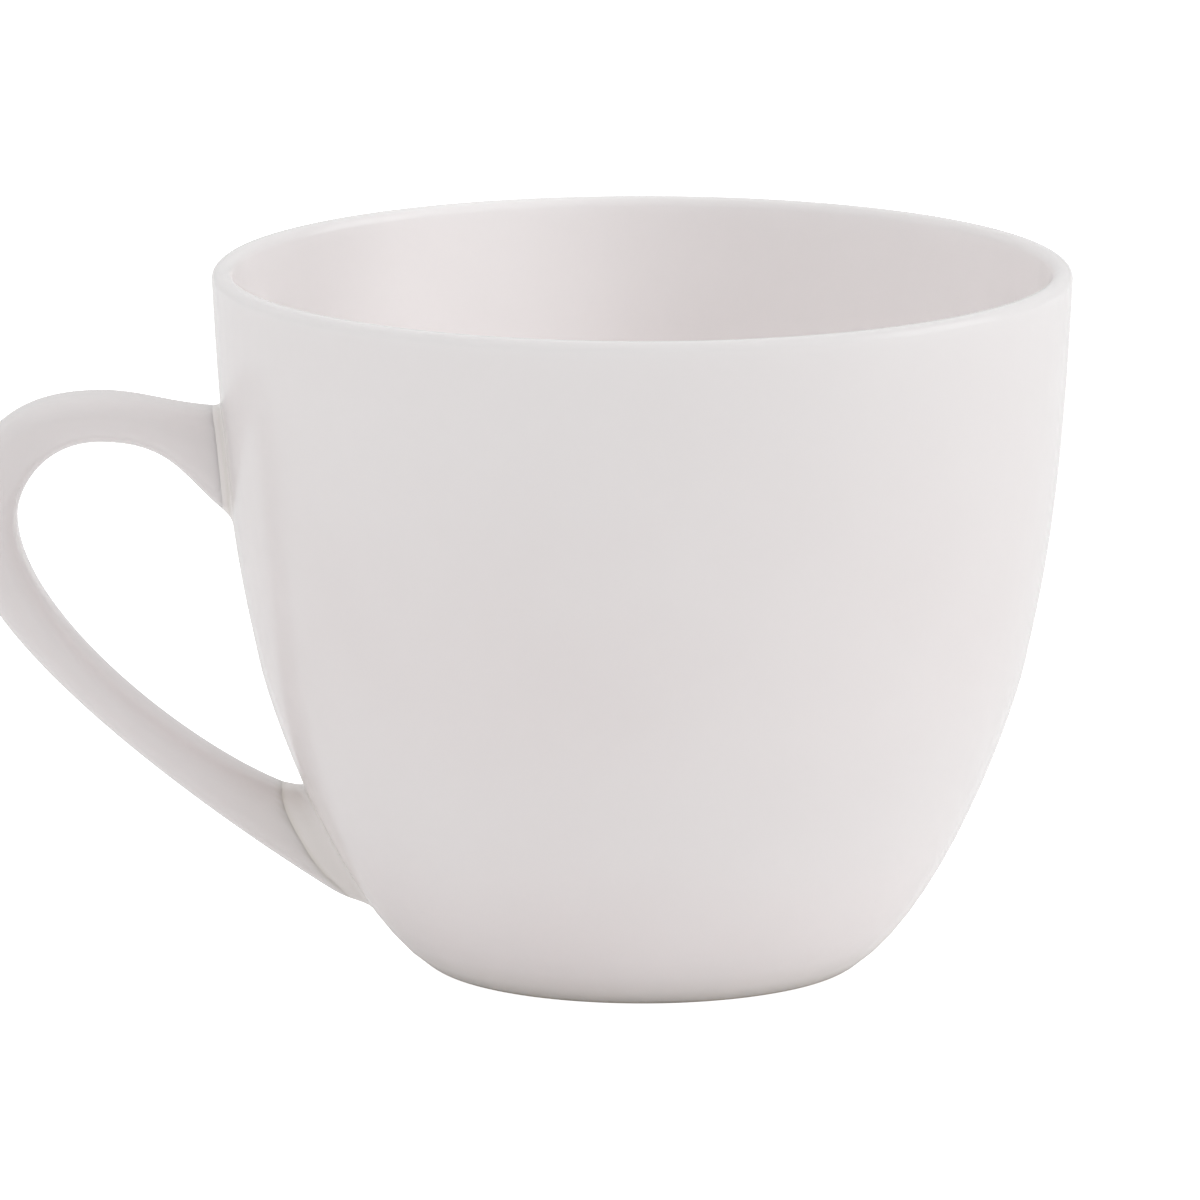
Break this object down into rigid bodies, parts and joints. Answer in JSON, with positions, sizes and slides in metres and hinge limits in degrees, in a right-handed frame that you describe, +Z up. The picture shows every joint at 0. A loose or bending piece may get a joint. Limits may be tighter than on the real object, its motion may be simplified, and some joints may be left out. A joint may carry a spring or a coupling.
{
  "type": "ceramic mug",
  "caption": "Round-bellied white glazed ceramic mug with a wide mouth, a narrow foot and an ear-shaped strap handle luted to its wall.",
  "frame": {"origin": "On the table plane under the middle of the overall box, handle included. The cup's own axis stands 13.8 mm from it towards +X.", "axes": "+Z up, out of the mouth. The handle points towards -X. The XZ plane is the mug's mirror plane."},
  "size_m": [0.122, 0.0944, 0.0776],
  "materials": {
    "white_glaze": "gloss",
    "glazed_slip": "gloss"
  },
  "bodies": {
    "root": {"cup_body": "white_glaze", "handle": "white_glaze", "upper_slip_joint": "glazed_slip", "lower_slip_joint": "glazed_slip"}
  },
  "joints": []
}
